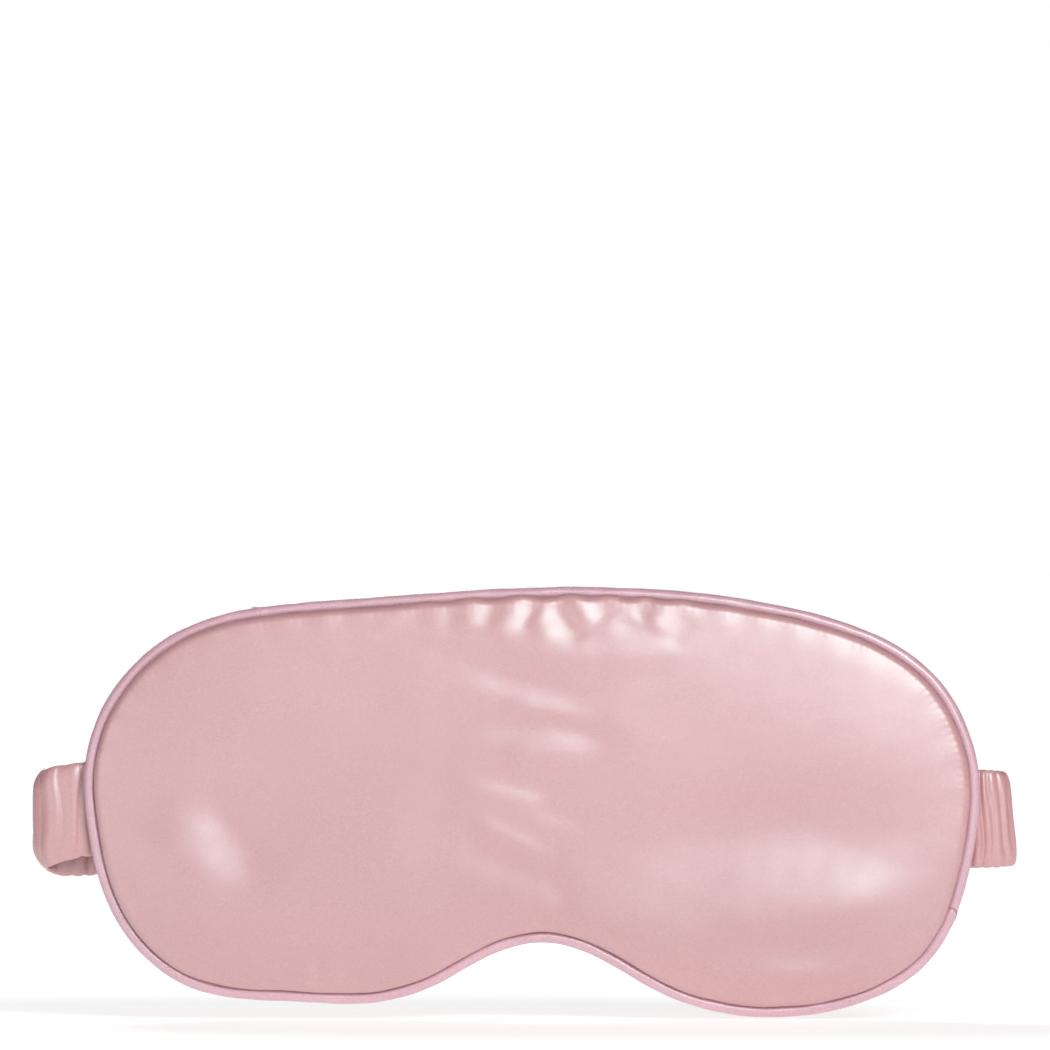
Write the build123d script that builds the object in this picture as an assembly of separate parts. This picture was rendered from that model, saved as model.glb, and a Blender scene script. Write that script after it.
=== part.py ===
from build123d import *
import math
import os

# Sleep eye mask, upright as it is worn.
# +X runs to the right seen from the front, +Z is up, +Y points towards the head.
# The origin is the centre of the skin-side face of the padded panel.
# All lengths are in millimetres.

# ---------------------------------------------------------------- outline
# Outer edge of the piping (x, z), evenly spaced, clockwise seen from the front,
# from the middle of the brow edge.  The cut is slightly uneven, as sewn.
OUTLINE = [
    (0.0, 50.3), (12.3, 50.5), (24.6, 50.1), (36.8, 49.3), (49.0, 47.7), (61.1, 45.5),
    (73.0, 42.3), (84.3, 37.5), (94.2, 30.3), (101.2, 20.3), (104.9, 8.6), (105.1, -3.7),
    (103.0, -15.8), (99.5, -27.6), (93.0, -37.9), (83.0, -45.0), (71.4, -49.0),
    (59.2, -50.6), (47.0, -50.0), (35.1, -47.0), (24.1, -41.6), (13.3, -35.6),
    (1.4, -33.2), (-10.3, -36.5), (-21.1, -42.4), (-32.7, -46.5), (-44.9, -47.5),
    (-57.2, -46.9), (-69.4, -46.2), (-81.3, -43.1), (-91.3, -36.1), (-98.5, -26.2),
    (-102.6, -14.6), (-104.7, -2.5), (-104.8, 9.7), (-101.2, 21.4), (-94.2, 31.5),
    (-84.7, 39.2), (-73.4, 43.9), (-61.3, 46.1), (-49.1, 47.2), (-36.8, 48.1),
    (-24.6, 49.0), (-12.3, 49.8),
]

# ---------------------------------------------------------------- depths
SKIN_Y = 0.0            # highest point of the skin-side face
SEAM_Y = -4.5           # plane of the edge seam, through the piping
FRONT_RISE = 5.2        # how far the front satin stands out of the seam
BACK_RISE = 4.15        # how far the skin-side satin stands out of the seam
SEAM_HALF_GAP = 0.35    # from the seam plane to the edge of each satin face
DOME_RUN = 24.0         # width of the rounded margin inside the seam

# ---------------------------------------------------------------- layers
SATIN_T = 0.6           # satin with its fusible backing
LINING_T = 0.4          # blackout lining
LAYER_GAP = 0.1
PANEL_INSET = 3.4       # outline to the edge of the satin faces
PAD_INSET = 9.0         # outline to the edge of the padding
DOME_STEPS = (0.0, 0.8, 2.4, 5.0, 9.0, 15.0, 22.0)

# ---------------------------------------------------------------- piping
PIPING_R = 1.45         # outside of the covered cord
PIPING_BORE_R = 0.85    # inside of the cover
CORD_R = 0.7            # filler cord
FLANGE_T = 0.5          # the two layers of the bias strip inside the seam
FLANGE_IN = 8.4         # outline to the raw edge of the flange
JOIN_UPPER = (-63.4, 45.7)   # where the two bias strips meet on the brow edge
JOIN_LOWER = (98.9, -28.6)   # and below the right end
THREAD_R = 0.2
THREAD_INSET = 3.05
THREAD_Y = -5.65
RIM_CORNERS = 44

# ---------------------------------------------------------------- fold
FOLD_X = 0.0
FOLD_GAP = 0.15         # each half stops this far from the fold line

# ---------------------------------------------------------------- strap
STRAP_W = 23.5          # gathered sleeve, top edge to bottom edge
STRAP_T = 3.0
STRAP_Z = -3.6          # middle of the strap
SLEEVE_WALL = 0.5
ELASTIC_W = 20.0
ELASTIC_T = 1.2
TAIL_Y = -1.4           # middle of the strap where it leaves the seam
TURN_R = 5.0            # middle radius of the turn behind the mask
REACH_LEFT = 118.2      # outermost point of the left turn
REACH_RIGHT = 113.8
TAIL_LEFT = 102.0       # inner end of the strap in the left side seam
TAIL_RIGHT = 102.4
TURN_END = 101.15       # end of the turned-back part
SPAN_END = 100.85       # start of the stretch that moves
REAR_Y = TAIL_Y + 2 * TURN_R

os.makedirs("parts", exist_ok=True)


def write(shape, node):
    parts = [s for s in shape.solids()]
    out = parts[0] if len(parts) == 1 else Compound(children=parts)
    out.label = node
    export_step(out, "parts/" + node + ".step")
    print(node, len(parts), round(sum(s.volume for s in parts), 2))


# ---------------------------------------------------------------- outline helpers
def closed_curve(pts, y):
    return Spline(*[Vector(px, y, pz) for px, pz in pts], periodic=True)


MASTER = closed_curve(OUTLINE, SEAM_Y)


def inset_point(t, d):
    p = MASTER @ (t % 1.0)
    g = MASTER % (t % 1.0)
    return (p.X + g.Z * d, p.Z - g.X * d)


def inset_points(d, n=66):
    return [inset_point(i / n, d) for i in range(n)]


def section_wire(d, y):
    return Wire([closed_curve(inset_points(d), y)])


def inset_face(d, y):
    return Face(section_wire(d, y))


def slab(d, y0, y1):
    f = inset_face(d, y0)
    return Solid.extrude(f, Vector(0, y1 - y0, 0))


def ring(d_out, d_in, y0, y1):
    return slab(d_out, y0, y1) - slab(d_in, y0, y1)


def dome(d):
    q = max(0.0, 1.0 - d / DOME_RUN)
    return math.sqrt(max(0.0, 1.0 - q * q))


def mound(inset, y0, rise):
    wires = [section_wire(inset + d, y0 + rise * dome(d)) for d in DOME_STEPS]
    return Solid.make_loft(wires, True)


def nearest_t(px, pz):
    best = min(range(2000), key=lambda i: math.hypot((MASTER @ (i / 2000)).X - px, (MASTER @ (i / 2000)).Z - pz))
    return best / 2000


# ---------------------------------------------------------------- halves
BIG = 400.0
LEFT_SPACE = Pos(FOLD_X - FOLD_GAP - BIG / 2, 0, 0) * Box(BIG, BIG, BIG)
RIGHT_SPACE = Pos(FOLD_X + FOLD_GAP + BIG / 2, 0, 0) * Box(BIG, BIG, BIG)


def halves(solid, name):
    write(solid & LEFT_SPACE, name + "_left")
    write(solid & RIGHT_SPACE, name + "_right")


# ---------------------------------------------------------------- padded panel
front_y = SEAM_Y - SEAM_HALF_GAP
back_y = SEAM_Y + SEAM_HALF_GAP

front_panel = mound(PANEL_INSET, front_y, -FRONT_RISE) - mound(
    PANEL_INSET + SATIN_T, front_y, -(FRONT_RISE - SATIN_T))
halves(front_panel, "front_panel")

lin_in = PANEL_INSET + SATIN_T + LAYER_GAP
lin_rise = FRONT_RISE - SATIN_T - LAYER_GAP
lining = mound(lin_in, front_y, -lin_rise) - mound(
    lin_in + LINING_T, front_y, -(lin_rise - LINING_T))
halves(lining, "blackout_lining")

back_panel = mound(PANEL_INSET, back_y, BACK_RISE) - mound(
    PANEL_INSET + SATIN_T, back_y, BACK_RISE - SATIN_T)
halves(back_panel, "back_panel")

PAD_STEPS = (0.0, 2.0, 6.0, 11.0, 17.0)
front_room = lin_rise - LINING_T
front_edge = lin_in + LINING_T
back_room = BACK_RISE - SATIN_T
back_edge = PANEL_INSET + SATIN_T
pad_wires = [
    section_wire(PAD_INSET + d, front_y - front_room * dome(PAD_INSET + d - front_edge) + 0.25)
    for d in reversed(PAD_STEPS)
] + [
    section_wire(PAD_INSET + d, back_y + back_room * dome(PAD_INSET + d - back_edge) - 0.25)
    for d in PAD_STEPS
]
padding = Solid.make_loft(pad_wires, True)
halves(padding, "padding")


# ---------------------------------------------------------------- piping
T_UP = nearest_t(*JOIN_UPPER)
T_LOW = nearest_t(*JOIN_LOWER)


def crossing(upper):
    lo, hi = (0.9, 1.1) if upper else (0.4, 0.6)
    ts = [lo + (hi - lo) * i / 4000 for i in range(4001)]
    return ts


def t_at_x(x, upper, d):
    return min(crossing(upper), key=lambda t: abs(inset_point(t, d)[0] - x)) % 1.0


def rim_path(t0, t1, d, y):
    # corners stay on one grid round the whole rim, so every path along it agrees
    if t1 <= t0:
        t1 += 1.0
    clear = 0.3 / RIM_CORNERS
    inner = [i / RIM_CORNERS for i in range(2 * RIM_CORNERS)
             if t0 + clear < i / RIM_CORNERS < t1 - clear]
    vs = []
    for t in [t0] + inner + [t1]:
        px, pz = inset_point(t, d)
        vs.append(Vector(px, y, pz))
    radii = []
    for i in range(1, len(vs) - 1):
        a, b = vs[i] - vs[i - 1], vs[i + 1] - vs[i]
        half = math.radians(max(a.get_angle(b), 0.05)) / 2
        radii.append(min(2500.0, 0.45 * min(a.length, b.length) / math.tan(half)))
    return FilletPolyline(*vs, radius=radii)


def rod(path, r):
    start = Plane(origin=path @ 0, z_dir=path % 0)
    return sweep(start * Circle(r), path=path)


OVERRUN = 0.012          # rods run this far past their end, over the next corner, before they are trimmed
HALF_SPANS = {
    "left": (t_at_x(-FOLD_GAP, False, 1.45), t_at_x(-FOLD_GAP, True, 1.45)),
    "right": (t_at_x(FOLD_GAP, True, 1.45), t_at_x(FOLD_GAP, False, 1.45)),
}
for side, (a, b) in HALF_SPANS.items():
    room = LEFT_SPACE if side == "left" else RIGHT_SPACE
    write(rod(rim_path(a - OVERRUN, b + OVERRUN, PIPING_R, SEAM_Y), CORD_R) & room,
          "piping_cord_" + side)
    write(rod(rim_path(a - OVERRUN, b + OVERRUN, THREAD_INSET, THREAD_Y), THREAD_R) & room,
          "seam_thread_" + side)


def wedge(pts):
    f = Face(Wire.make_polygon([Vector(px, -60, pz) for px, pz in pts]))
    return Solid.extrude(f, Vector(0, 120, 0))


hub_l, hub_r = (-40.0, 0.0), (50.0, 0.0)
far_up = tuple(hub_l[i] + 3.0 * (JOIN_UPPER[i] - hub_l[i]) for i in (0, 1))
far_low = tuple(hub_r[i] + 3.5 * (JOIN_LOWER[i] - hub_r[i]) for i in (0, 1))
REGIONS = {
    "piping_upper_left": wedge([hub_l, far_up, (-FOLD_GAP, 160), (-FOLD_GAP, 0)]),
    "piping_upper_right": wedge([(FOLD_GAP, 0), (FOLD_GAP, 160), (220, 160), far_low, hub_r]),
    "piping_lower_right": wedge([(FOLD_GAP, 0), hub_r, far_low, (220, -160), (FOLD_GAP, -160)]),
    "piping_lower_left": wedge([(-FOLD_GAP, 0), (-FOLD_GAP, -160), (-220, -160), (-220, 160), far_up, hub_l]),
}
JOIN_SLIT = 0.0008       # of the whole rim, each side of a join
END_GAP = 0.4            # the tube is cut square to its own line near the fold
STRIPS = {
    "piping_upper_left": (T_UP + JOIN_SLIT, t_at_x(-END_GAP, True, PIPING_R)),
    "piping_upper_right": (t_at_x(END_GAP, True, PIPING_R), T_LOW - JOIN_SLIT),
    "piping_lower_right": (T_LOW + JOIN_SLIT, t_at_x(END_GAP, False, PIPING_R)),
    "piping_lower_left": (t_at_x(-END_GAP, False, PIPING_R), T_UP - JOIN_SLIT),
}
flange = ring(2 * PIPING_R + 0.04, FLANGE_IN,
              SEAM_Y - FLANGE_T / 2, SEAM_Y + FLANGE_T / 2)
for name, (a, b) in STRIPS.items():
    path = rim_path(a, b, PIPING_R, SEAM_Y)
    tube = rod(path, PIPING_R) - rod(path, PIPING_BORE_R)
    write(Compound(children=list(tube.solids()) + list((flange & REGIONS[name]).solids())), name)


# ---------------------------------------------------------------- strap
def turn(sign, tail, reach, t, width):
    xa = sign * (reach - STRAP_T / 2 - TURN_R)
    xt, xr = sign * tail, sign * TURN_END
    yc = TAIL_Y + TURN_R
    ro, ri = TURN_R + t / 2, TURN_R - t / 2
    e = [
        Line((xt, yc - ro), (xa, yc - ro)),
        ThreePointArc((xa, yc - ro), (xa + sign * ro, yc), (xa, yc + ro)),
        Line((xa, yc + ro), (xr, yc + ro)),
        Line((xr, yc + ro), (xr, yc + ri)),
        Line((xr, yc + ri), (xa, yc + ri)),
        ThreePointArc((xa, yc + ri), (xa + sign * ri, yc), (xa, yc - ri)),
        Line((xa, yc - ri), (xt, yc - ri)),
        Line((xt, yc - ri), (xt, yc - ro)),
    ]
    f = Face(Wire(e)).moved(Location((0, 0, STRAP_Z - width / 2)))
    return Solid.extrude(f, Vector(0, 0, width))


def span(sign, t, width):
    x0, x1 = sign * FOLD_GAP, sign * SPAN_END
    return Pos((x0 + x1) / 2, REAR_Y, STRAP_Z) * Box(abs(x1 - x0), t, width)


for side, sign, tail, reach in (("left", -1, TAIL_LEFT, REACH_LEFT),
                                ("right", 1, TAIL_RIGHT, REACH_RIGHT)):
    hollow_t, hollow_w = STRAP_T - 2 * SLEEVE_WALL, STRAP_W - 2 * SLEEVE_WALL
    write(turn(sign, tail, reach, STRAP_T, STRAP_W) - turn(sign, tail, reach, hollow_t, hollow_w),
          "strap_sleeve_turn_" + side)
    write(turn(sign, tail, reach, ELASTIC_T, ELASTIC_W), "strap_elastic_turn_" + side)
    write(span(sign, STRAP_T, STRAP_W) - span(sign, hollow_t, hollow_w), "strap_sleeve_span_" + side)
    write(span(sign, ELASTIC_T, ELASTIC_W), "strap_elastic_span_" + side)
    bars = []
    for i in range(9):
        z = STRAP_Z - 9.6 + i * 2.4
        bars.append(Pos(sign * (tail + 1.0), TAIL_Y + STRAP_T / 2 + 0.17, z) * Box(1.4, 0.3, 0.5))
    write(Compound(children=bars), "strap_tack_" + side)
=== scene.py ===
import math

import bpy
import numpy as np
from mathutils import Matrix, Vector, geometry


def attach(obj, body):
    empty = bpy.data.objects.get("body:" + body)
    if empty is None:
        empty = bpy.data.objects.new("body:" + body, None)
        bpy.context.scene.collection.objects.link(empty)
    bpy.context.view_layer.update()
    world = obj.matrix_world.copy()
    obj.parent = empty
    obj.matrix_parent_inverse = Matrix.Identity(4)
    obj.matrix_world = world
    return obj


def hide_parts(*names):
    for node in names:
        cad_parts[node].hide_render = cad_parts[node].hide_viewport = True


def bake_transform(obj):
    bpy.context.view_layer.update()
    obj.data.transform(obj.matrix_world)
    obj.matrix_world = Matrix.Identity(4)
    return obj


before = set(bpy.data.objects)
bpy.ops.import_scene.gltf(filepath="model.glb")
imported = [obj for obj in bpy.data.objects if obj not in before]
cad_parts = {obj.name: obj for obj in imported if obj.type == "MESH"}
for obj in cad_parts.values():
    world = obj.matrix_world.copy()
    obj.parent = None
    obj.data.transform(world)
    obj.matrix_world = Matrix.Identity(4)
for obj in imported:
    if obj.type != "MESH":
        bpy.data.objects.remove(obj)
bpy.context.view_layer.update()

MM = 0.001
rng = np.random.default_rng(7)

# ------------------------------------------------------------------ sizes (mm, as in the CAD)
OUTLINE = [
    (0.0, 50.3), (12.3, 50.5), (24.6, 50.1), (36.8, 49.3), (49.0, 47.7), (61.1, 45.5),
    (73.0, 42.3), (84.3, 37.5), (94.2, 30.3), (101.2, 20.3), (104.9, 8.6), (105.1, -3.7),
    (103.0, -15.8), (99.5, -27.6), (93.0, -37.9), (83.0, -45.0), (71.4, -49.0),
    (59.2, -50.6), (47.0, -50.0), (35.1, -47.0), (24.1, -41.6), (13.3, -35.6),
    (1.4, -33.2), (-10.3, -36.5), (-21.1, -42.4), (-32.7, -46.5), (-44.9, -47.5),
    (-57.2, -46.9), (-69.4, -46.2), (-81.3, -43.1), (-91.3, -36.1), (-98.5, -26.2),
    (-102.6, -14.6), (-104.7, -2.5), (-104.8, 9.7), (-101.2, 21.4), (-94.2, 31.5),
    (-84.7, 39.2), (-73.4, 43.9), (-61.3, 46.1), (-49.1, 47.2), (-36.8, 48.1),
    (-24.6, 49.0), (-12.3, 49.8),
]
SEAM_Y = -4.5
FRONT_RISE, BACK_RISE = 5.3, 4.25
PIPING_R = 1.45
EDGE_IN = 2.75          # where the satin faces dip against the piping
STITCH = 1.9
JOIN_UPPER, JOIN_LOWER = (-63.4, 45.7), (98.9, -28.6)
STRAP_W, STRAP_Z = 23.5, -3.6
TAIL_Y, TURN_R = -1.4, 5.0
DEPTH = 1.3             # how deep the slack folds lie


# ------------------------------------------------------------------ outline as a periodic cubic
def periodic_cubic(pts):
    p = np.array(pts, float)
    n = len(p)
    a = np.zeros((n, n))
    for i in range(n):
        a[i, i], a[i, (i - 1) % n], a[i, (i + 1) % n] = 4, 1, 1
    slope = np.linalg.solve(a, 3 * (np.roll(p, -1, 0) - np.roll(p, 1, 0)))
    u = np.linspace(0, 1, 80, endpoint=False)[:, None]
    out = []
    for i in range(n):
        j = (i + 1) % n
        h = (2 * u**3 - 3 * u**2 + 1) * p[i] + (u**3 - 2 * u**2 + u) * slope[i]
        out.append(h + (-2 * u**3 + 3 * u**2) * p[j] + (u**3 - u**2) * slope[j])
    return np.vstack(out)


FINE = periodic_cubic(OUTLINE)
STEP = np.linalg.norm(np.roll(FINE, -1, 0) - FINE, axis=1)
ARC = np.concatenate([[0.0], np.cumsum(STEP)])
PERIM = ARC[-1]
CLOSED = np.vstack([FINE, FINE[:1]])
tan = np.roll(FINE, -1, 0) - np.roll(FINE, 1, 0)
tan /= np.linalg.norm(tan, axis=1)[:, None]
TANC = np.vstack([tan, tan[:1]])


def rim(s):
    """Position, unit tangent and inward normal at arc lengths s along the outline."""
    s = np.asarray(s, float) % PERIM
    p = np.c_[np.interp(s, ARC, CLOSED[:, 0]), np.interp(s, ARC, CLOSED[:, 1])]
    t = np.c_[np.interp(s, ARC, TANC[:, 0]), np.interp(s, ARC, TANC[:, 1])]
    t /= np.linalg.norm(t, axis=1)[:, None]
    return p, t, np.c_[t[:, 1], -t[:, 0]]


def rim_at(point):
    return ARC[np.argmin(np.linalg.norm(FINE - np.array(point), axis=1))]


EDGE_S = np.linspace(0, PERIM, 1400, endpoint=False)
EDGE_P, _, EDGE_N = rim(EDGE_S)


def edge_distance(xz):
    """Distance in from the outline and the arc length of the nearest outline point."""
    d, s = np.empty(len(xz)), np.empty(len(xz))
    for i in range(0, len(xz), 1500):
        q = xz[i:i + 1500]
        dd = ((q[:, None, :] - EDGE_P[None]) ** 2).sum(2)
        k = dd.argmin(1)
        v = ((q - EDGE_P[k]) * EDGE_N[k]).sum(1)
        d[i:i + 1500] = np.where(v < 0, -1, 1) * np.sqrt(dd[np.arange(len(q)), k])
        s[i:i + 1500] = EDGE_S[k]
    return d, s


# ------------------------------------------------------------------ noise that needs no seed at run time
def smooth_noise(x, z, scale, seed):
    r = np.random.default_rng(seed)
    out = np.zeros_like(x)
    for _ in range(9):
        ang, ph = r.uniform(0, 2 * math.pi), r.uniform(0, 2 * math.pi)
        f = 2 * math.pi / (scale * r.uniform(0.75, 1.5))
        out += np.sin(f * (x * math.cos(ang) + z * math.sin(ang)) + ph)
    return out / 4.2


def bell(u):
    return np.exp(-u * u)


def ease(u):
    u = np.clip(u, 0, 1)
    return u * u * (3 - 2 * u)


def soften(pts, parts):
    """A smooth run through the points of a fold line."""
    p = np.array(pts, float)
    if len(p) < 3:
        return p
    q = np.vstack([2 * p[0] - p[1], p, 2 * p[-1] - p[-2]])
    out = []
    for i in range(1, len(q) - 2):
        for k in range(parts):
            u = k / parts
            out.append(0.5 * (2 * q[i] + (q[i + 1] - q[i - 1]) * u + (2 * q[i - 1] - 5 * q[i] + 4 * q[i + 1] - q[i + 2]) * u**2
                              + (3 * q[i] - q[i - 1] - 3 * q[i + 1] + q[i + 2]) * u**3))
    return np.vstack(out + [p[-1:]])


def line_field(x, z, pts, parts=9):
    """Signed distance to a fold line (positive on its left) and how far along it, 0 to 1."""
    best = np.full(x.shape, 1e9)
    sd, al = np.zeros_like(x), np.zeros_like(x)
    pts = soften(pts, parts)
    seg = np.linalg.norm(np.diff(pts, axis=0), axis=1)
    cum = np.concatenate([[0], np.cumsum(seg)])
    for i in range(len(seg)):
        a, b = pts[i], pts[i + 1]
        d = (b - a) / seg[i]
        u = np.clip((x - a[0]) * d[0] + (z - a[1]) * d[1], 0, seg[i])
        px, pz = x - a[0] - u * d[0], z - a[1] - u * d[1]
        r = np.hypot(px, pz)
        side = np.sign(d[0] * pz - d[1] * px)
        m = r < best
        best = np.where(m, r, best)
        sd = np.where(m, r * np.where(side == 0, 1, side), sd)
        al = np.where(m, (cum[i] + u) / cum[-1], al)
    return sd, al


def fold(x, z, pts, amp, w_left, w_right=None, taper=0.35):
    """A ridge (amp > 0) or valley along a line, with its own width on each side."""
    w_right = w_left if w_right is None else w_right
    sd, al = line_field(x, z, pts, 26 if max(w_left, w_right) > 6 else 9)
    w = np.where(sd > 0, w_left, w_right)
    return amp * bell(sd / w) * ease(al / taper) * ease((1 - al) / taper)


def spot(x, z, cx, cz, amp, rx, rz, turn=0.0):
    c, s = math.cos(math.radians(turn)), math.sin(math.radians(turn))
    u, v = (x - cx) * c + (z - cz) * s, -(x - cx) * s + (z - cz) * c
    return amp * bell(np.hypot(u / rx, v / rz))


def quarter(d, run):
    q = 1 - np.clip(d / run, 0, 1)
    return np.sqrt(np.clip(1 - q * q, 0, 1))


def crown(d, run):
    q = 1 - np.clip(d / run, 0, 1)
    return 1 - q * q


def E(px, py):
    """A point measured on the object, in millimetres from the middle of the panel."""
    return ((px / 2 - 471.5) * 0.2352, (221.5 - py / 2) * 0.2352)


# ------------------------------------------------------------------ the front face's folds
def front_height(x, z, d, s):
    """How far the front satin stands out of the seam plane, in millimetres."""
    h = 0.50 + FRONT_RISE * (0.58 * quarter(d, 1.25) + 0.04 * crown(d, 8.0) + 0.34 * crown(d, 36.0))
    inside = ease((d - 0.6) / 6.0)
    f = np.zeros_like(x)
    # right lobe: one wide slack valley with a soft crest under it, and a smaller one lower down
    f += fold(x, z, [E(1000, 552), E(1270, 514), E(1460, 490), E(1620, 496), E(1810, 522)], -1.42, 10.0, 12.0, 0.38)
    f += fold(x, z, [E(800, 700), E(1120, 730), E(1480, 690), E(1790, 572)], 0.95, 10.0, 9.0, 0.27)
    f += fold(x, z, [E(1200, 730), E(1440, 736), E(1660, 712)], -0.48, 5.0, 5.0, 0.45)
    f += spot(x, z, *E(1440, 796), 0.58, 17.0, 5.0)
    # left lobe: a diagonal dent with a lit crest on its lower left
    f += fold(x, z, [E(215, 362), E(328, 452), E(440, 660)], -0.95, 8.5, 8.5, 0.45)
    f += fold(x, z, [E(135, 440), E(228, 605), E(340, 752)], 0.98, 12.0, 10.5, 0.40)
    f += fold(x, z, [E(120, 392), E(210, 386), E(300, 372)], -0.12, 2.2, 2.6, 0.45)
    f += fold(x, z, [E(330, 640), E(600, 560), E(760, 590)], 0.22, 9.0, 8.0, 0.45)
    # bridge: creases that fan to the right
    g = np.zeros_like(x)
    g += fold(x, z, [E(815, 306), E(900, 296), E(985, 290), E(1060, 308), E(1150, 334)], -0.36, 1.9, 3.0, 0.3)
    g += fold(x, z, [E(790, 165), E(880, 192), E(980, 215), E(1090, 240)], -0.36, 3.6, 3.6, 0.4)
    g += fold(x, z, [E(860, 250), E(960, 262), E(1080, 285)], 0.26, 2.8, 2.4, 0.4)
    g += fold(x, z, [E(800, 395), E(890, 402), E(960, 416), E(1060, 405)], -0.46, 3.2, 2.8, 0.4)
    g += fold(x, z, [E(850, 350), E(960, 352), E(1090, 362)], 0.32, 3.6, 3.0, 0.4)
    g += fold(x, z, [E(795, 465), E(880, 512), E(995, 566)], 0.36, 2.6, 2.8, 0.35)
    g += fold(x, z, [E(780, 525), E(870, 556), E(960, 572)], -0.28, 2.8, 2.8, 0.4)
    g += fold(x, z, [E(780, 610), E(880, 622), E(960, 600)], 0.42, 3.4, 3.0, 0.4)
    g += fold(x, z, [E(975, 560), E(995, 620), E(1030, 665)], -0.42, 3.0, 3.6, 0.4)
    g += fold(x, z, [E(930, 450), E(1000, 470), E(1080, 480)], -0.26, 2.6, 2.6, 0.4)
    g += fold(x, z, [E(1110, 90), E(1140, 200), E(1120, 330), E(1150, 430)], 0.12, 5.5, 6.0, 0.4)
    g += fold(x, z, [E(770, 120), E(780, 300), E(760, 520), E(790, 660)], -0.09, 6.0, 6.0, 0.3)
    f += 0.80 * g
    # gathers under the brow seam
    g = np.zeros_like(x)
    for a, b, amp, w in (
        ((640, 42), (655, 110), 0.22, 3.2), ((742, 42), (750, 100), 0.22, 3.2),
        ((806, 30), (812, 112), 0.50, 3.4), ((905, 30), (862, 122), 0.48, 3.6),
        ((935, 72), (985, 130), 0.34, 3.0), ((1016, 28), (1062, 100), 0.56, 2.9),
        ((1088, 70), (1106, 128), 0.24, 3.4), ((1140, 32), (1140, 96), 0.26, 3.0),
        ((1220, 30), (1176, 108), 0.48, 3.4), ((1310, 40), (1330, 105), 0.16, 3.6),
        ((1420, 58), (1432, 110), 0.15, 3.6),
    ):
        g += fold(x, z, [E(*a), E((a[0] + b[0]) / 2 + 4, (a[1] + b[1]) / 2), E(*b)], amp, w, w, 0.30)
    for a, b, amp, w in (
        ((776, 36), (786, 120), -0.20, 2.8), ((872, 42), (852, 100), -0.28, 2.5),
        ((946, 42), (930, 112), -0.24, 2.5), ((972, 44), (1052, 128), -0.50, 2.8),
        ((1192, 34), (1152, 84), -0.34, 2.5), ((1262, 60), (1216, 146), -0.26, 3.2),
    ):
        g += fold(x, z, [E(*a), E(*b)], amp, w, w, 0.3)
    f += 0.54 * g + fold(x, z, [E(690, 112), E(850, 130), E(1000, 150), E(1150, 148), E(1320, 120)], 0.42, 6.4, 3.8, 0.35)
    brow = ease((d + 0.6) / 1.0)
    # pinch on the lower left edge and tucks at the ends
    f += fold(x, z, [E(521, 838), E(520, 790), E(517, 748)], -0.40, 1.3, 1.3, 0.25)
    f += fold(x, z, [E(500, 836), E(496, 770)], 0.22, 1.8, 1.8, 0.3)
    f += fold(x, z, [E(544, 836), E(548, 770)], 0.22, 1.8, 1.8, 0.3)
    f += spot(x, z, *E(1808, 350), -0.5, 1.3, 1.6)
    f += spot(x, z, *E(92, 556), -0.4, 1.2, 1.4)
    # slack cloth over the wadding
    f += 0.055 * smooth_noise(x, z, 26.0, 3) + 0.016 * smooth_noise(x, z, 8.0, 5)
    near_top = bell(np.maximum(0, 49.5 - z) / 22.0) * bell((x - 4) / 46.0)
    h = h + DEPTH * f * (inside * (1 - near_top) + brow * near_top)
    # the seam pulls the satin in at every stitch
    pull = 0.5 + 0.5 * np.cos(2 * math.pi * s / STITCH)
    ends = 0.45 + 0.55 * ease((np.abs(x) - 60) / 35)
    h = h - 0.26 * ends * pull * np.exp(-np.maximum(d, 0) / 0.9)
    wide = 0.5 + 0.5 * np.cos(2 * math.pi * s / 8.7 + 1.6 * np.sin(s / 31.0))
    return h - 0.20 * wide * np.exp(-np.maximum(d, 0) / 2.6) * quarter(d, 1.5)


def back_height(x, z, d, s):
    h = 0.35 + BACK_RISE * (0.42 * quarter(d, 3.2) + 0.58 * quarter(d, 24.0))
    inside = ease((d - 0.4) / 5.0)
    f = 0.07 * smooth_noise(x, z, 24.0, 11) + 0.02 * smooth_noise(x, z, 8.0, 13)
    for cx, tilt, amp in ((-38, 3, 0.26), (-24, -2, 0.30), (-9, 2, 0.36), (6, -3, 0.34), (20, 2, 0.28), (37, -2, 0.22)):
        f += fold(x, z, [(cx, 49), (cx + tilt, 42), (cx + 1.6 * tilt, 35)], amp, 2.4, 2.6, 0.25)
    for z0, amp, bend in ((26, -0.26, 2.0), (15, 0.22, -1.5), (5, -0.30, 1.8), (-7, 0.24, -2.2), (-17, -0.26, 1.2)):
        f += fold(x, z, [(-27, z0 + bend), (-8, z0), (9, z0 - bend), (28, z0 + 0.6 * bend)], amp, 3.0, 3.6, 0.4)
    f += fold(x, z, [(-88, 6), (-66, 2), (-42, 5)], -0.34, 8.0, 8.0, 0.45)
    f += fold(x, z, [(42, 2), (66, -3), (88, 3)], -0.38, 8.0, 9.0, 0.45)
    h = h + f * inside
    pull = 0.5 + 0.5 * np.cos(2 * math.pi * s / STITCH)
    h = h - 0.22 * pull * np.exp(-np.maximum(d, 0) / 0.9)
    wide = 0.5 + 0.5 * np.cos(2 * math.pi * s / 7.9 + 1.4 * np.sin(s / 27.0))
    return h - 0.2 * wide * np.exp(-np.maximum(d, 0) / 2.6) * quarter(d, 3.0)


# ------------------------------------------------------------------ mesh helpers
def make_object(name, verts_mm, faces, material, smooth=True):
    me = bpy.data.meshes.new(name)
    me.from_pydata((np.asarray(verts_mm) * MM).tolist(), [], [tuple(int(i) for i in f) for f in faces])
    me.validate()
    me.update()
    ob = bpy.data.objects.new(name, me)
    bpy.context.scene.collection.objects.link(ob)
    ob.data.materials.append(material)
    if smooth:
        me.polygons.foreach_set("use_smooth", [True] * len(me.polygons))
    return ob


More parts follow.
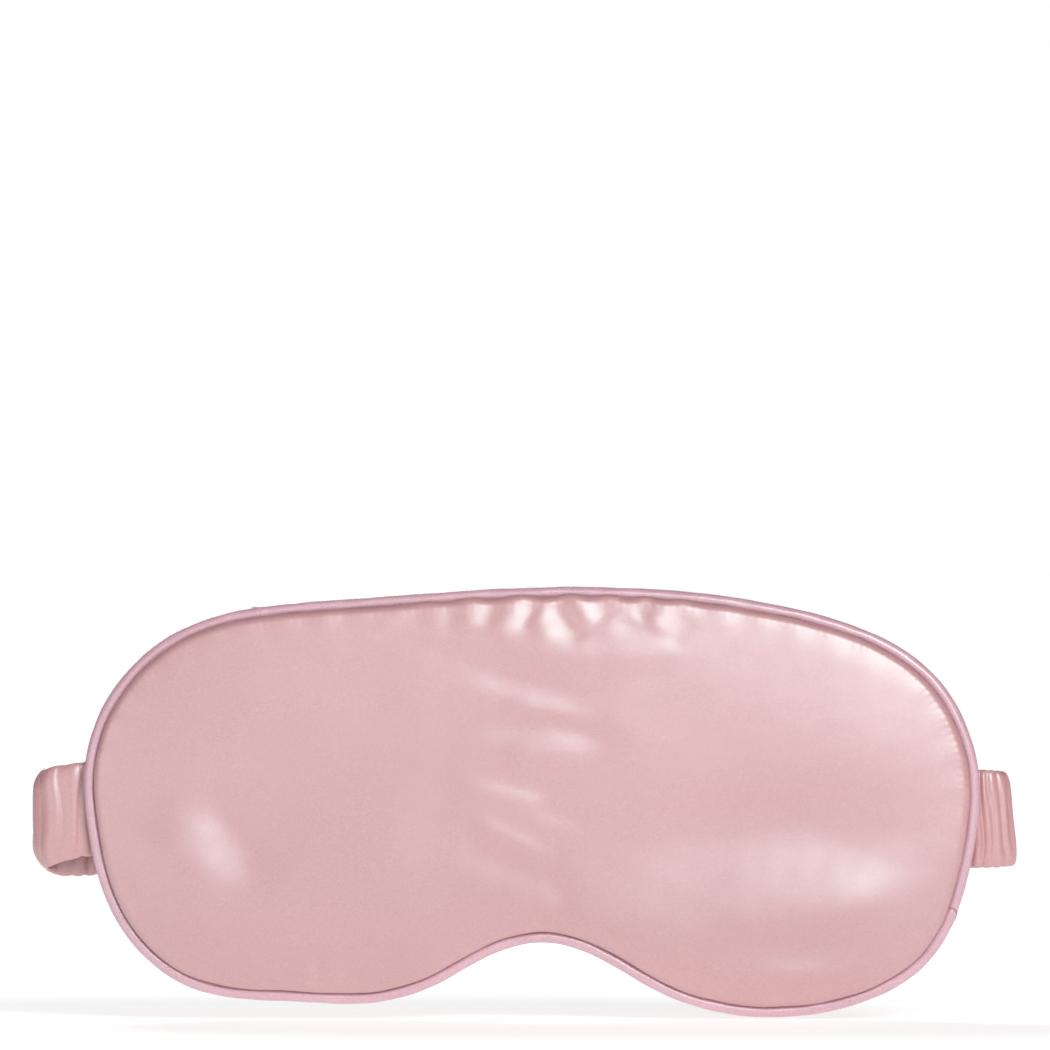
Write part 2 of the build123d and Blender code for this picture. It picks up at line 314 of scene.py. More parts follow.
def field_mesh(inset, spacing, n_rim, ring_steps, scallop=None):
    """A flat triangle layout inside the outline: rings along the seam, then an even field."""
    s = np.linspace(0, PERIM, n_rim, endpoint=False)
    p, _, n = rim(s)
    out = np.zeros(n_rim) if scallop is None else scallop(p[:, 0], p[:, 1])
    rings = [p + n * (inset + r - out * math.exp(-r / 1.2))[:, None] for r in ring_steps]
    keep_from = inset + ring_steps[-1] + 0.75 * spacing
    xs = np.arange(-112, 112, spacing)
    pts = []
    for k, zz in enumerate(np.arange(-56, 56, spacing * 0.866)):
        row = xs + (0.5 * spacing if k % 2 else 0)
        pts.append(np.c_[row, np.full_like(row, zz)])
    grid = np.vstack(pts)
    d, _ = edge_distance(grid)
    grid = grid[d > keep_from]
    allp = np.vstack(rings + [grid])
    edges = [(i, (i + 1) % n_rim) for i in range(n_rim)]
    out = geometry.delaunay_2d_cdt([Vector(q) for q in allp], edges, [], 1, 1e-7)
    v = np.array([(q.x, q.y) for q in out[0]])
    return v, np.array(out[2], int)


def brow_scallops(x, z):
    """The gathered satin swells over the piping between the stitches at the brow."""
    out = np.zeros_like(x)
    for cx, w, amp in ((-48.5, 3.6, 0.10), (-24.6, 4.2, 0.26), (-14.0, 4.2, 0.34), (-2.6, 5.0, 0.44),
                       (9.0, 4.4, 0.46), (18.4, 4.2, 0.44), (26.6, 3.2, 0.36), (35.2, 4.0, 0.30), (47.0, 4.5, 0.14)):
        out += amp * bell((x - cx) / (0.72 * w))
    return 1.8 * np.where(z > 40, out, 0.0) + 0.05 * np.sin(x / 2.3 + z / 3.1)


def shell(name, inset, spacing, n_rim, ring_steps, height, sign, thickness, material, drop=0.0, scallop=None):
    """A thin closed sheet of cloth on one side of the seam plane (sign -1 front, +1 back)."""
    v, f = field_mesh(inset, spacing, n_rim, ring_steps, scallop)
    d, s = edge_distance(v)
    d = d - inset
    if scallop is not None:
        d = d + scallop(v[:, 0], v[:, 1]) * np.exp(-np.maximum(d, 0) / 1.2)
    y = SEAM_Y + sign * np.maximum(height(v[:, 0], v[:, 1], d, s) - drop, 0.12)
    if scallop is not None:
        # the full edge of the satin leans out over the piping
        near = EDGE_N[np.searchsorted(EDGE_S, s, side="right") - 1]
        lean = 0.55 * ease(d / 0.25) * bell(d / 0.9)
        v = v - near * lean[:, None]
    outer = np.c_[v[:, 0], y, v[:, 1]]
    a, b, c = outer[f[:, 0]], outer[f[:, 1]], outer[f[:, 2]]
    fn = np.cross(b - a, c - a)
    if (fn[:, 1] * sign).sum() < 0:
        f = f[:, ::-1]
        fn = -fn
    vn = np.zeros_like(outer)
    for k in range(3):
        np.add.at(vn, f[:, k], fn)
    vn /= np.linalg.norm(vn, axis=1)[:, None]
    inner = outer - vn * thickness
    count = len(outer)
    lines = np.vstack([f[:, [0, 1]], f[:, [1, 2]], f[:, [2, 0]]])
    key = {}
    for i, j in lines.tolist():
        key[(i, j)] = True
    rimq = [(i, j) for i, j in key if (j, i) not in key]
    faces = f.tolist() + (f[:, ::-1] + count).tolist() + [(j, i, i + count, j + count) for i, j in rimq]
    return make_object(name, np.vstack([outer, inner]), faces, material)


# ------------------------------------------------------------------ materials
def nodes_of(name):
    m = bpy.data.materials.new(name)
    m.use_nodes = True
    nt = m.node_tree
    bsdf = nt.nodes["Principled BSDF"]
    return m, nt, bsdf


def set_in(node, **kw):
    for k, v in kw.items():
        node.inputs[k.replace("_", " ")].default_value = v


def noise_node(nt, coord, scale, detail=2.0, rough=0.5, stretch=(1, 1, 1), turn=(0, 0, 0)):
    mp = nt.nodes.new("ShaderNodeMapping")
    mp.inputs["Scale"].default_value = stretch
    mp.inputs["Rotation"].default_value = turn
    nt.links.new(coord, mp.inputs["Vector"])
    n = nt.nodes.new("ShaderNodeTexNoise")
    n.inputs["Scale"].default_value = scale
    n.inputs["Detail"].default_value = detail
    n.inputs["Roughness"].default_value = rough
    nt.links.new(mp.outputs["Vector"], n.inputs["Vector"])
    return n.outputs["Fac"]


def ramp(nt, fac, lo, hi, at=(0.0, 1.0)):
    r = nt.nodes.new("ShaderNodeValToRGB")
    r.color_ramp.elements[0].position, r.color_ramp.elements[1].position = at
    r.color_ramp.elements[0].color = (*lo, 1)
    r.color_ramp.elements[1].color = (*hi, 1)
    nt.links.new(fac, r.inputs["Fac"])
    return r.outputs["Color"]


def mixed(nt, a, b, factor):
    m = nt.nodes.new("ShaderNodeMix")
    m.data_type = "RGBA"
    m.blend_type = "MULTIPLY"
    m.inputs["Factor"].default_value = factor
    nt.links.new(a, m.inputs[6])
    nt.links.new(b, m.inputs[7])
    return m.outputs[2]


def satin(name, low, high, roughness=0.36, sheen=0.25, weave=0.10, stretch=(1.0, 1.0, 2.6), turn=(0, 0, 0), grain=1.0, spec=0.45):
    """Satin: floats along one direction, a fine broken grain across it, soft gloss and a pale sheen."""
    m, nt, b = nodes_of(name)
    co = nt.nodes.new("ShaderNodeTexCoord").outputs["Object"]
    broad = noise_node(nt, co, 38.0, 3.0, 0.55)
    fine = noise_node(nt, co, 2100.0 * grain, 2.0, 0.62, stretch, turn)
    slub = noise_node(nt, co, 620.0 * grain, 3.0, 0.6, (0.6, 1.0, 1.5), turn)
    c1 = ramp(nt, broad, low, high, (0.30, 0.70))
    c2 = ramp(nt, fine, (0.80, 0.78, 0.78), (1.0, 1.0, 1.0), (0.30, 0.68))
    c3 = ramp(nt, slub, (0.975, 0.97, 0.97), (1.0, 1.0, 1.0), (0.35, 0.65))
    nt.links.new(mixed(nt, mixed(nt, c1, c2, 0.8), c3, 0.8), b.inputs["Base Color"])
    mr = nt.nodes.new("ShaderNodeMapRange")
    mr.inputs["To Min"].default_value = roughness - 0.05
    mr.inputs["To Max"].default_value = roughness + 0.06
    nt.links.new(fine, mr.inputs["Value"])
    nt.links.new(mr.outputs["Result"], b.inputs["Roughness"])
    set_in(b, Sheen_Weight=sheen, Sheen_Roughness=0.35, Specular_IOR_Level=spec)
    b.inputs["Sheen Tint"].default_value = (1.0, 0.93, 0.94, 1)
    b.inputs["Specular Tint"].default_value = (0.72, 1.0, 1.0, 1)
    b.inputs["IOR"].default_value = 1.62
    bump2 = nt.nodes.new("ShaderNodeBump")
    bump2.inputs["Strength"].default_value = weave
    bump2.inputs["Distance"].default_value = 0.0002
    nt.links.new(slub, bump2.inputs["Height"])
    bump = nt.nodes.new("ShaderNodeBump")
    bump.inputs["Strength"].default_value = weave
    bump.inputs["Distance"].default_value = 0.0001
    nt.links.new(fine, bump.inputs["Height"])
    nt.links.new(bump2.outputs["Normal"], bump.inputs["Normal"])
    nt.links.new(bump.outputs["Normal"], b.inputs["Normal"])
    return m


def plain_cloth(name, low, high, scale, roughness=0.9, strength=0.4, distance=0.0002, stretch=(1, 1, 1), kind="noise"):
    m, nt, b = nodes_of(name)
    co = nt.nodes.new("ShaderNodeTexCoord").outputs["Object"]
    n = noise_node(nt, co, scale, 4.0, 0.6, stretch)
    nt.links.new(ramp(nt, n, low, high, (0.3, 0.7)), b.inputs["Base Color"])
    set_in(b, Roughness=roughness, Specular_IOR_Level=0.2, Sheen_Weight=0.15)
    bump = nt.nodes.new("ShaderNodeBump")
    bump.inputs["Strength"].default_value = strength
    bump.inputs["Distance"].default_value = distance
    nt.links.new(n, bump.inputs["Height"])
    nt.links.new(bump.outputs["Normal"], b.inputs["Normal"])
    return m


M_FRONT = satin("front_satin", (0.606, 0.316, 0.328), (0.632, 0.336, 0.348), roughness=0.37, sheen=0.08, spec=1.0, weave=0.06)
M_BACK = satin("back_satin", (0.606, 0.316, 0.328), (0.632, 0.336, 0.348), roughness=0.37, sheen=0.08, spec=1.0, weave=0.06)
M_PIPE = satin("piping_satin", (0.640, 0.368, 0.430), (0.700, 0.426, 0.492), roughness=0.34, sheen=0.2, spec=0.8,
               weave=0.12, stretch=(1.0, 1.0, 1.0), grain=0.9)
M_STRAP = satin("strap_satin", (0.600, 0.298, 0.308), (0.640, 0.330, 0.340), roughness=0.36, sheen=0.1, spec=0.9,
                weave=0.08, stretch=(2.2, 2.2, 0.8))
# thread colour is partly the thread's own and partly painted shade: its dark red stands in for the shade in the seam
# crease, and the strap bartacks share it
M_THREAD_CREASE_SHADE = plain_cloth("sewing_thread_crease_shade", (0.42, 0.12, 0.15), (0.56, 0.20, 0.24), 2600.0, 0.6, 0.5, 0.0001)
M_LINING = plain_cloth("blackout_lining", (0.012, 0.012, 0.014), (0.03, 0.03, 0.034), 1800.0, 0.85)
M_WAD = plain_cloth("wadding", (0.74, 0.73, 0.70), (0.90, 0.89, 0.86), 260.0, 0.95, 0.8, 0.001)
M_CORD = plain_cloth("cotton_cord", (0.66, 0.62, 0.55), (0.84, 0.80, 0.73), 900.0, 0.95, 0.7, 0.0003)
M_ELASTIC = plain_cloth("elastic_tape", (0.70, 0.66, 0.64), (0.84, 0.81, 0.79), 700.0, 0.7, 0.6, 0.0003, (0.4, 0.4, 3.0))

# ------------------------------------------------------------------ the padded panel
RINGS = [0.0, 0.07, 0.19, 0.36, 0.6, 0.92, 1.35, 1.9, 2.6, 3.4, 4.3, 5.3, 6.4]
front = shell("front_panel", EDGE_IN, 1.05, 1120, RINGS, front_height, -1, 0.35, M_FRONT, scallop=brow_scallops)
back = shell("back_panel", EDGE_IN, 1.3, 1000, RINGS, back_height, 1, 0.35, M_BACK)
lining = shell("blackout_lining", EDGE_IN + 1.0, 2.2, 420, [0.0, 1.5, 3.5, 6.0],
               lambda x, z, d, s: front_height(x, z, d + 1.0, s), -1, 0.2, M_LINING, drop=0.62)


def make_padding():
    v, f = field_mesh(9.0, 2.6, 300, [0.0, 1.8, 4.0])
    d, s = edge_distance(v)
    hf = np.maximum(front_height(v[:, 0], v[:, 1], d - EDGE_IN, s) - 1.25, 0.3) - 0.12 * np.exp(-(d - 9) / 1.5)
    hb = np.maximum(back_height(v[:, 0], v[:, 1], d - EDGE_IN, s) - 0.75, 0.3) - 0.12 * np.exp(-(d - 9) / 1.5)
    top = np.c_[v[:, 0], SEAM_Y - hf, v[:, 1]]
    low = np.c_[v[:, 0], SEAM_Y + hb, v[:, 1]]
    a, b, c = top[f[:, 0]], top[f[:, 1]], top[f[:, 2]]
    if np.cross(b - a, c - a)[:, 1].sum() > 0:
        f = f[:, ::-1]
    n = len(top)
    key = {(i, j) for g in f.tolist() for i, j in ((g[0], g[1]), (g[1], g[2]), (g[2], g[0]))}
    side = [(j, i, i + n, j + n) for i, j in sorted(key) if (j, i) not in key]
    return make_object("padding", np.vstack([top, low]), f.tolist() + (f[:, ::-1] + n).tolist() + side, M_WAD)


padding = make_padding()


# ------------------------------------------------------------------ piping
def rim_tube(name, s0, s1, radius, material, sides=24, flange=True, slant0=0.0, slant1=0.0, step=0.7, grow0=0.0, grow1=0.0):
    n = int((s1 - s0) / step) + 2
    u = np.linspace(0, 1, n)
    ang = np.linspace(0, 2 * math.pi, sides, endpoint=False)
    prof = []
    for a in ang:
        prof.append((math.cos(a), math.sin(a), a))     # along inward normal, along y
    verts = []
    for i, ui in enumerate(u):
        for (cn, sy, a) in prof:
            s = s0 + (s1 - s0) * ui
            s += slant0 * sy * max(0.0, 1 - ui * n * step / 4.0) + slant1 * sy * max(0.0, 1 - (1 - ui) * n * step / 4.0)
            verts.append((s, cn, sy, a, ui))
    w = np.array(verts)
    S, CN, SY, A, U = w.T
    length = s1 - s0
    r = radius + 0.035 * np.sin(S / 3.1 + 2 * A) + 0.03 * np.sin(S / 7.3 - A) + 0.02 * np.sin(S / 1.35 + 3 * A)
    r += grow0 * ease(1 - U * length / 3.5) + grow1 * ease(1 - (1 - U) * length / 3.5)
    # the cover narrows to its flange where the seam grips it
    grip = np.clip(CN, 0, 1) ** 4
    off_n = CN * r + (grip * 0.22)
    off_y = SY * r * (1 - 0.25 * grip)
    p, t, nn = rim(S)
    pos = p + nn * (PIPING_R + off_n)[:, None]
    v = np.c_[pos[:, 0], SEAM_Y + off_y, pos[:, 1]]
    faces = []
    for i in range(n - 1):
        for k in range(sides):
            a0, a1 = i * sides + k, i * sides + (k + 1) % sides
            faces.append((a0, a1, a1 + sides, a0 + sides))
    # turned-in lips close both ends
    extra, base = [], len(v)
    for e, row in ((0, 0), (1, n - 1)):
        ring = v[row * sides:(row + 1) * sides]
        mid = ring.mean(0)
        inn = mid + (ring - mid) * 0.72
        start = base + len(extra)
        extra += inn.tolist() + [mid.tolist()]
        for k in range(sides):
            k2 = (k + 1) % sides
            q = (row * sides + k, row * sides + k2, start + k2, start + k)
            faces.append(q if e else q[::-1])
            tri = (start + k, start + k2, start + sides)
            faces.append(tri if e else tri[::-1])
    ob = make_object(name, np.vstack([v, np.array(extra)]), faces, material)
    return ob


S_UP, S_LOW = rim_at(JOIN_UPPER), rim_at(JOIN_LOWER)
upper = rim_tube("piping_upper_strip", S_UP - 2.0, S_LOW + PERIM - 0.0 if S_LOW < S_UP else S_LOW, PIPING_R, M_PIPE,
                 slant0=-1.6, slant1=1.0, grow0=0.17, grow1=-0.12)
lower = rim_tube("piping_lower_strip", S_LOW - 2.0, S_UP + 1.6, PIPING_R, M_PIPE, slant0=1.5, slant1=-1.0, grow0=0.16, grow1=-0.12)


def rim_rod(name, r, inset, y, s0, s1, material, sides=8, step=1.6):
    n = int((s1 - s0) / step)
    s = np.linspace(s0, s1, n, endpoint=False)
    p, t, nn = rim(s)
    verts = []
    for k in range(sides):
        a = 2 * math.pi * k / sides
        q = p + nn * (inset + r * math.cos(a) * 1.0)
        verts.append(np.c_[q[:, 0], np.full(n, y + r * math.sin(a)), q[:, 1]])
    v = np.stack(verts, 1).reshape(-1, 3)
    tw = np.repeat(np.arange(n), sides)
    faces = [((i * sides + k), (i * sides + (k + 1) % sides), (((i + 1) % n) * sides + (k + 1) % sides), (((i + 1) % n) * sides + k))
             for i in range(n) for k in range(sides)]
    return make_object(name, v, faces, material)


core = rim_rod("piping_cord", 0.7, PIPING_R, SEAM_Y, 0, PERIM, M_CORD)


# ------------------------------------------------------------------ seam stitches
def make_stitches():
    count = int(PERIM / STITCH)
    pitch = PERIM / count
    r = np.random.default_rng(21)
    rings, sides = 7, 6
    verts, faces = [], []
    for i in range(count):
        s_mid = (i + 0.5) * pitch + r.uniform(-0.08, 0.08)
        half = 0.66 + r.uniform(-0.05, 0.05)
        for side, y0 in ((-1, SEAM_Y - 0.98), (1, SEAM_Y + 0.98)):
            base = len(verts)
            for j in range(rings):
                q = -1 + 2 * j / (rings - 1)
                s = s_mid + half * q
                rad = 0.19 * math.sqrt(max(0.02, 1 - 0.92 * q ** 4))
                sink = 0.20 * q ** 4
                p, t, nn = rim([s])
                for k in range(sides):
                    a = 2 * math.pi * k / sides
                    pp = p[0] + nn[0] * (2.92 + rad * math.cos(a))
                    verts.append((pp[0], y0 + side * (rad * math.sin(a)) - side * sink, pp[1]))
            for j in range(rings - 1):
                for k in range(sides):
                    a0, a1 = base + j * sides + k, base + j * sides + (k + 1) % sides
                    q4 = (a0, a1, a1 + sides, a0 + sides)
                    faces.append(q4 if side > 0 else q4[::-1])
            cap0 = tuple(base + k for k in range(sides))
            cap1 = tuple(base + (rings - 1) * sides + k for k in range(sides))
            faces.append(cap0[::-1] if side > 0 else cap0)
            faces.append(cap1 if side > 0 else cap1[::-1])
    # the stitches carry the dark red thread material, which paints the crease's shade along the seam
    return make_object("seam_stitches", np.array(verts), faces, M_THREAD_CREASE_SHADE)


stitches = make_stitches()


# ------------------------------------------------------------------ strap
def strap_line(sign, tail, reach, n_step=0.3):
    """Centreline in plan (x, y), from the seam round the turn to the middle of the back."""
    xa = reach - 1.5 - TURN_R
    pts = []
    for x in np.arange(tail - 0.6, xa, n_step):
        pts.append((x, TAIL_Y))
    for a in np.arange(-90, 90, math.degrees(n_step / TURN_R)):
        pts.append((xa + TURN_R * math.cos(math.radians(a)), TAIL_Y + TURN_R + TURN_R * math.sin(math.radians(a))))
    for x in np.arange(xa, 0.0, -n_step):
        pts.append((x, TAIL_Y + 2 * TURN_R))
    pts.append((0.0, TAIL_Y + 2 * TURN_R))
    p = np.array(pts)
    p[:, 0] *= sign
    return p


def pleats(u, z, seed):
    """Rounded ridges with tight valleys; u counts pleats along the strap."""
    r = np.random.default_rng(seed)
    ph = r.uniform(0, 6, 4)
    w = u + 0.16 * np.sin(z / 5.2 + ph[0] + u * 0.9) + 0.10 * np.sin(z / 2.9 + ph[1] - u * 1.7)
    c = np.abs(np.cos(math.pi * w))
    strength = 0.72 + 0.28 * np.sin(1.7 * np.floor(w + 0.5) + ph[2])
    return (c ** 0.75) * strength


def strap_lean(side, sv, turn_s, zz):
    """How the loop tips in plan: the right one leans with height, the left one rounds its corners."""
    if side == "right":
        return np.exp(-((sv - turn_s) / 8.0) ** 2) * (-0.095 * (zz + 3.6))
    r_ = np.clip((np.abs(zz + 3.8) - 6.5) / 5.6, 0, 1)
    return -np.exp(-((sv - turn_s) / 6.0) ** 2) * 2.3 * r_ ** 2


def make_strap(side, sign, tail, reach):
    line = strap_line(sign, tail, reach)
    seg = np.linalg.norm(np.diff(line, axis=0), axis=1)
    s = np.concatenate([[0], np.cumsum(seg)])
    total = s[-1]
    ds = 0.30
    n = int(total / ds)
    sv = np.linspace(0, total, n)
    x, y = np.interp(sv, s, line[:, 0]), np.interp(sv, s, line[:, 1])
    tx, ty = np.gradient(x, sv), np.gradient(y, sv)
    tl = np.hypot(tx, ty)
    tx, ty = tx / tl, ty / tl
    nx, ny = ty, -tx                       # outward from the loop on the way out
    if sign < 0:
        nx, ny = -nx, -ny
    turn_s = s[np.argmax(np.abs(line[:, 0]))]
    if side == "left":
        pitch = np.interp(sv, [0, 9, 20, 34, total], [3.6, 4.6, 3.8, 3.1, 3.3])
        z_top = np.interp(sv, [0, 4, 15, 24, 40, total], [9.6, 9.3, 7.9, 7.3, 7.4, 8.1])
        z_low = np.interp(sv, [0, 4, 13, 19, 26, 36, total], [-12.6, -12.9, -15.4, -16.1, -17.7, -17.4, -15.4])
        amp = np.interp(sv, [0, 12, 30, total], [0.90, 0.70, 0.85, 0.75])
    else:
        pitch = np.interp(sv, [0, 12, 26, 40, total], [2.3, 2.3, 2.5, 3.1, 3.3])
        z_top = np.interp(sv, [0, 3, 12, 24, total], [7.6, 7.5, 7.0, 7.6, 8.1])
        z_low = np.interp(sv, [0, 3, 12, 24, total], [-15.8, -15.7, -15.2, -15.6, -15.4])
        amp = np.interp(sv, [0, 12, 30, total], [1.05, 1.05, 0.85, 0.75])
    u = np.cumsum(np.gradient(sv) / pitch)
    u = u - u[-1] + 0.5                    # a valley at the middle of the back
    m = 72
    ang = np.linspace(0, 2 * math.pi, m, endpoint=False)
    ca, sa = np.cos(ang), np.sin(ang)
    cz = np.sign(ca) * np.abs(ca) ** 0.42
    cn = np.sign(sa) * np.abs(sa) ** 0.80
    hw = (z_top - z_low) / 2
    zc = (z_top + z_low) / 2
    V = np.zeros((n, m, 3))
    for k in range(m):
        zz = zc + cz[k] * hw
        pl = pleats(u, zz + (3.1 if cn[k] < 0 else 0.0), 31 if cn[k] >= 0 else 37)
        edge = 1 - np.abs(cz[k]) ** 6
        gather = ease(sv / 2.2)            # flat where the seam holds it
        half_t = 0.52 + 0.26 * ease((sv - 1.6) / 4.0) + amp * pl * (0.30 + 0.70 * gather)
        dz = (0.42 - 0.30 * np.exp(-((sv - turn_s) / 9.0) ** 2)) * (pleats(u, 0 * zz, 41) - 0.5) * np.abs(cz[k]) ** 3 * np.sign(cz[k])
        off = cn[k] * half_t
        lean = strap_lean(side, sv, turn_s, zz)
        V[:, k, 0] = x + nx * off + sign * lean
        V[:, k, 1] = y + ny * off
        V[:, k, 2] = zz + dz
    # the loop ends a hair short of the middle, where it meets the other side
    V[:, :, 0] = np.where(sign * V[:, :, 0] < 0.02, sign * 0.02, V[:, :, 0])
    # the tail stays behind the piping
    behind = sv < 3.2
    V[behind, :, 1] = np.maximum(V[behind, :, 1], SEAM_Y + PIPING_R + 0.12)
    flat = V.reshape(-1, 3)
    quads = [(i * m + k, i * m + (k + 1) % m, (i + 1) * m + (k + 1) % m, (i + 1) * m + k) for i in range(n - 1) for k in range(m)]
    f = np.array(quads)
    a, b, c = flat[f[:, 0]], flat[f[:, 1]], flat[f[:, 2]]
    fn = np.cross(b - a, c - a)
    cen = V.mean(1)
    out = (fn * (flat[f[:, 0]] - np.repeat(cen[:-1], m, 0))).sum()
    if out < 0:
        f, fn = f[:, ::-1], -fn
    vn = np.zeros_like(flat)
    for k in range(4):
        np.add.at(vn, f[:, k], fn)
    vn /= np.linalg.norm(vn, axis=1)[:, None]
    inner = flat - vn * 0.22
    cnt = len(flat)
    faces = f.tolist() + (f[:, ::-1] + cnt).tolist()
    for row in (0, n - 1):
        for k in range(m):
            i, j = row * m + k, row * m + (k + 1) % m
            q = (i, j, j + cnt, i + cnt)
            faces.append(q)
    ob = make_object("strap_sleeve_" + side, np.vstack([flat, inner]), faces, M_STRAP)
    return ob, total


def fix_normals(ob):
    import bmesh
    bm = bmesh.new()
    bm.from_mesh(ob.data)
    bmesh.ops.recalc_face_normals(bm, faces=bm.faces)
    bm.to_mesh(ob.data)
    bm.free()
    ob.data.polygons.foreach_set("use_smooth", [True] * len(ob.data.polygons))
    ob.data.update()


def make_elastic(side, sign, tail, reach):
    line = strap_line(sign, tail + 0.8, reach, 0.8)
    m = 12
    t, half = 0.8, 8.2
    tx, ty = np.gradient(line[:, 0]), np.gradient(line[:, 1])
    tl = np.hypot(tx, ty)
    nx, ny = ty / tl, -tx / tl
    seg = np.linalg.norm(np.diff(line, axis=0), axis=1)
    s = np.concatenate([[0], np.cumsum(seg)])
    turn_s = s[np.argmax(np.abs(line[:, 0]))]
    mid = np.interp(s, [0, 26, s[-1]], [-2.8, -4.2, -3.6]) if side == "left" else np.full(len(s), -4.0)
    prof = [(-0.5, -1.0), (-0.5, -0.6), (-0.5, 0), (-0.5, 0.6), (-0.5, 1.0), (0, 1.0), (0.5, 1.0), (0.5, 0.6), (0.5, 0), (0.5, -0.6), (0.5, -1.0), (0, -1.0)]
    n = len(line)
    v = []
    for i in range(n):
        for a, b in prof:
            zz = mid[i] + b * half
            v.append((line[i, 0] + nx[i] * a * t + sign * strap_lean(side, s[i], turn_s, zz), line[i, 1] + ny[i] * a * t, zz))
    v = np.array(v)
    v[:, 0] = np.where(sign * v[:, 0] < 0.3, sign * 0.3, v[:, 0])
    faces = [(i * m + k, i * m + (k + 1) % m, (i + 1) * m + (k + 1) % m, (i + 1) * m + k) for i in range(n - 1) for k in range(m)]
    faces += [tuple(range(m)), tuple((n - 1) * m + k for k in reversed(range(m)))]
    ob = make_object("strap_elastic_" + side, v, faces, M_ELASTIC, smooth=False)
    return ob


def make_tack(side, sign, tail):
    """A zigzag bartack through the strap's end, seen from behind."""
    verts, faces = [], []
    r = np.random.default_rng(5 if side == "left" else 6)
    xs = [sign * (tail + 0.55), sign * (tail + 1.9)]
    z = STRAP_Z - 9.8
    k = 0
    y = TAIL_Y + 1.12
    sides, rings = 6, 7
    while z < STRAP_Z + 9.8:
        x0, x1 = xs[k % 2], xs[(k + 1) % 2]
        z1 = z + 0.62
        p0, p1 = np.array([x0, y, z]), np.array([x1, y, z1])
        d = (p1 - p0) / np.linalg.norm(p1 - p0)
        up = np.array([0, 1, 0])
        lat = np.cross(d, up)
        base = len(verts)
        for j in range(rings):
            q = j / (rings - 1)
            c = p0 + (p1 - p0) * q + up * (0.16 * math.sin(math.pi * q))
            rad = 0.15 * (0.7 + 0.3 * math.sin(math.pi * q))
            for a in range(sides):
                th = 2 * math.pi * a / sides
                verts.append(c + rad * (math.cos(th) * lat + math.sin(th) * up))
        for j in range(rings - 1):
            for a in range(sides):
                a0, a1 = base + j * sides + a, base + j * sides + (a + 1) % sides
                faces.append((a0, a1, a1 + sides, a0 + sides))
        faces.append(tuple(base + a for a in range(sides)))
        faces.append(tuple(base + (rings - 1) * sides + a for a in reversed(range(sides))))
        z, k = z1, k + 1
    ob = make_object("strap_tack_" + side, np.array(verts), faces, M_THREAD_CREASE_SHADE)
    return ob


SIDES = (("left", -1, 102.0, 118.2), ("right", 1, 102.4, 113.8))
straps = {}
for side, sign, tail, reach in SIDES:
    sleeve, total = make_strap(side, sign, tail, reach)
    elastic = make_elastic(side, sign, tail, reach)
    tack = make_tack(side, sign, tail)
    straps[side] = (sleeve, elastic, tack, total)

for ob in [upper, lower, core, stitches] + [o for t in straps.values() for o in t[:3]]:
    fix_normals(ob)

# ------------------------------------------------------------------ baking in place, hiding the CAD parts, tacks onto the halves
for ob, nodes, slot in (
    (front, ("front_panel_left", "front_panel_right"), "satin_front"),
    (back, ("back_panel_left", "back_panel_right"), "satin_back"),
    (lining, ("blackout_lining_left", "blackout_lining_right"), "lining"),
    (padding, ("padding_left", "padding_right"), "wadding"),
    (upper, ("piping_upper_left", "piping_upper_right"), "piping_satin"),
    (lower, ("piping_lower_left", "piping_lower_right"), "piping_satin"),
    (core, ("piping_cord_left", "piping_cord_right"), "cord_core"),
    (stitches, ("seam_thread_left", "seam_thread_right"), "thread"),
):
    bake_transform(ob)
    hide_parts(*nodes)

for side, sign, tail, reach in SIDES:
    sleeve, elastic, tack, total = straps[side]
    for ob, nodes, slot in (
        (sleeve, ("strap_sleeve_turn_" + side, "strap_sleeve_span_" + side), "strap_satin"),
        (elastic, ("strap_elastic_turn_" + side, "strap_elastic_span_" + side), "elastic"),
    ):
        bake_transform(ob)
        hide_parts(*nodes)
    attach(tack, side + "_half")
    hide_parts("strap_tack_" + side)

# ------------------------------------------------------------------ floor, light and camera
def stage_floor():
    me = bpy.data.meshes.new("floor")
    r, z = 12.0, -0.0512
    me.from_pydata([(-r, -r, z), (r, -r, z), (r, r, z), (-r, r, z)], [], [(0, 1, 2, 3)])
    ob = bpy.data.objects.new("floor", me)
    bpy.context.scene.collection.objects.link(ob)
    m, nt, b = nodes_of("floor_white_glowing")
    set_in(b, Base_Color=(0.80, 0.80, 0.80, 1), Roughness=0.9, Specular_IOR_Level=0.05)
    # the floor glows by itself, 0.52 near the middle rising to 0.95 far out: painted light that keeps it white, washes
    # out the shadows cast on it and lights the mask from below
    b.inputs["Emission Color"].default_value = (1, 1, 1, 1)
    co = nt.nodes.new("ShaderNodeTexCoord").outputs["Object"]
    far = nt.nodes.new("ShaderNodeVectorMath")
    far.operation = "LENGTH"
    nt.links.new(co, far.inputs[0])
    glow = nt.nodes.new("ShaderNodeMapRange")
    glow.inputs["From Min"].default_value = 0.25
    glow.inputs["From Max"].default_value = 1.30
    glow.inputs["To Min"].default_value = 0.52
    glow.inputs["To Max"].default_value = 0.95
    nt.links.new(far.outputs["Value"], glow.inputs["Value"])
    nt.links.new(glow.outputs["Result"], b.inputs["Emission Strength"])
    me.materials.append(m)


stage_floor()


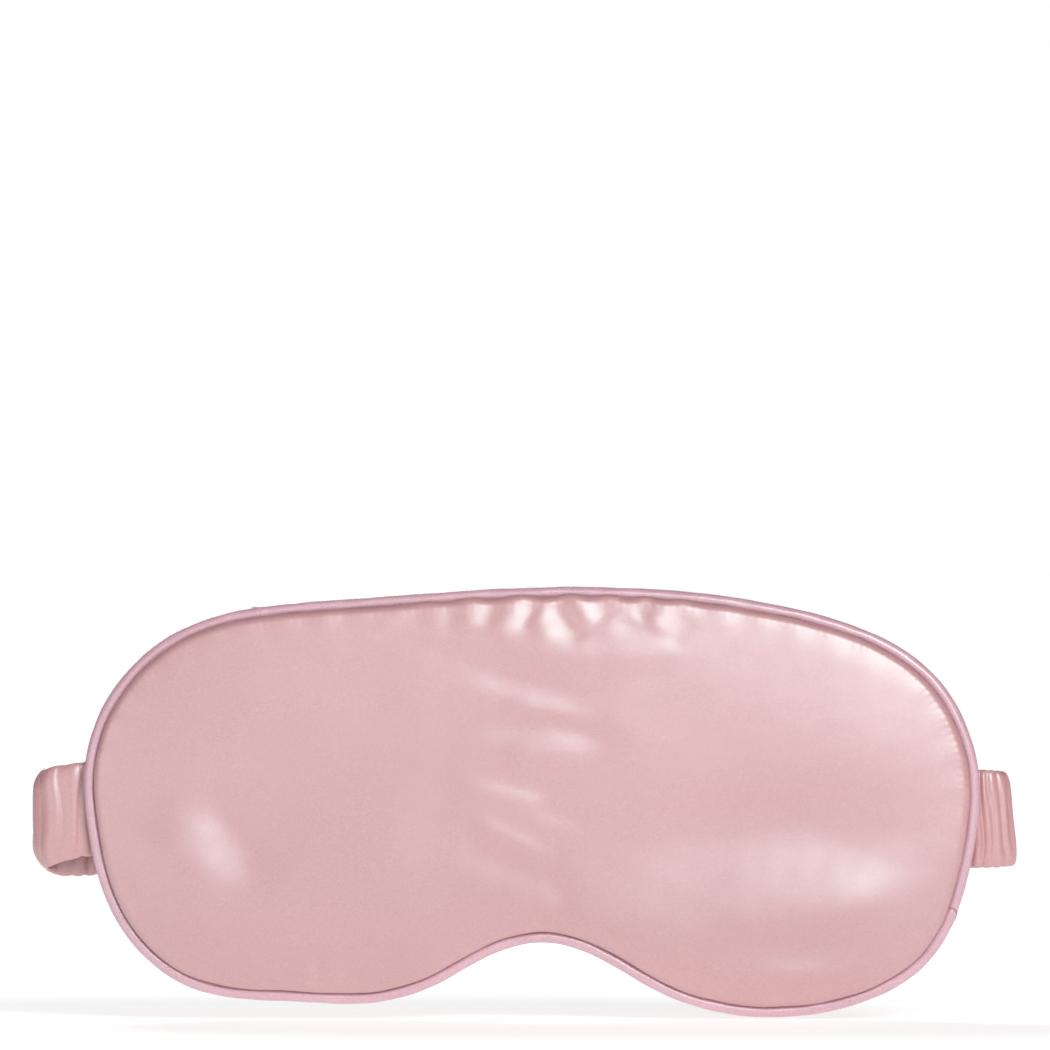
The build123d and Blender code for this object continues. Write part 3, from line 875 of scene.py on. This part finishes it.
def area_light(name, at, to, size, power, color=(1, 1, 1)):
    li = bpy.data.lights.new(name, "AREA")
    li.shape = "RECTANGLE"
    li.size, li.size_y = size
    li.energy = power
    li.color = color
    ob = bpy.data.objects.new(name, li)
    ob.location = at
    ob.rotation_euler = (Vector(to) - Vector(at)).to_track_quat("-Z", "Y").to_euler()
    bpy.context.scene.collection.objects.link(ob)
    return ob


area_light("key", (0.42, -1.15, 0.52), (0, 0, 0), (0.55, 0.55), 12.0)
area_light("fill", (-0.75, -1.0, 0.05), (0, 0, 0), (0.9, 0.6), 3.0)
area_light("rear", (-0.35, 1.15, 0.75), (0, 0, 0), (0.7, 0.7), 10.0)

world = bpy.data.worlds.new("studio")
bpy.context.scene.world = world
world.use_nodes = True
wn = world.node_tree
bg = wn.nodes["Background"]
bg.inputs["Color"].default_value = (1, 1, 1, 1)
bg.inputs["Strength"].default_value = 0.12
paper = wn.nodes.new("ShaderNodeBackground")        # the white paper behind the object
paper.inputs["Color"].default_value = (1, 1, 1, 1)
paper.inputs["Strength"].default_value = 1.0
path = wn.nodes.new("ShaderNodeLightPath")
both = wn.nodes.new("ShaderNodeMixShader")
wn.links.new(path.outputs["Is Camera Ray"], both.inputs[0])
wn.links.new(bg.outputs[0], both.inputs[1])
wn.links.new(paper.outputs[0], both.inputs[2])
wn.links.new(both.outputs[0], wn.nodes["World Output"].inputs["Surface"])

cam = bpy.data.cameras.new("camera")
cam_ob = bpy.data.objects.new("camera", cam)
bpy.context.scene.collection.objects.link(cam_ob)
DIST = 1.6
cam_ob.location = (-0.0015, -DIST, 0.0)
cam_ob.rotation_euler = (Vector((-0.0015, -0.0045, 0.0650)) - Vector(cam_ob.location)).to_track_quat("-Z", "Y").to_euler()
cam.sensor_width = 36.0
cam.sensor_fit = "HORIZONTAL"
cam.lens = 36.0 * (DIST - 0.0045) / 0.24696
cam.clip_start, cam.clip_end = 0.05, 50.0
bpy.context.scene.camera = cam_ob
bpy.context.scene.view_settings.view_transform = "Standard"
bpy.context.scene.view_settings.look = "None"
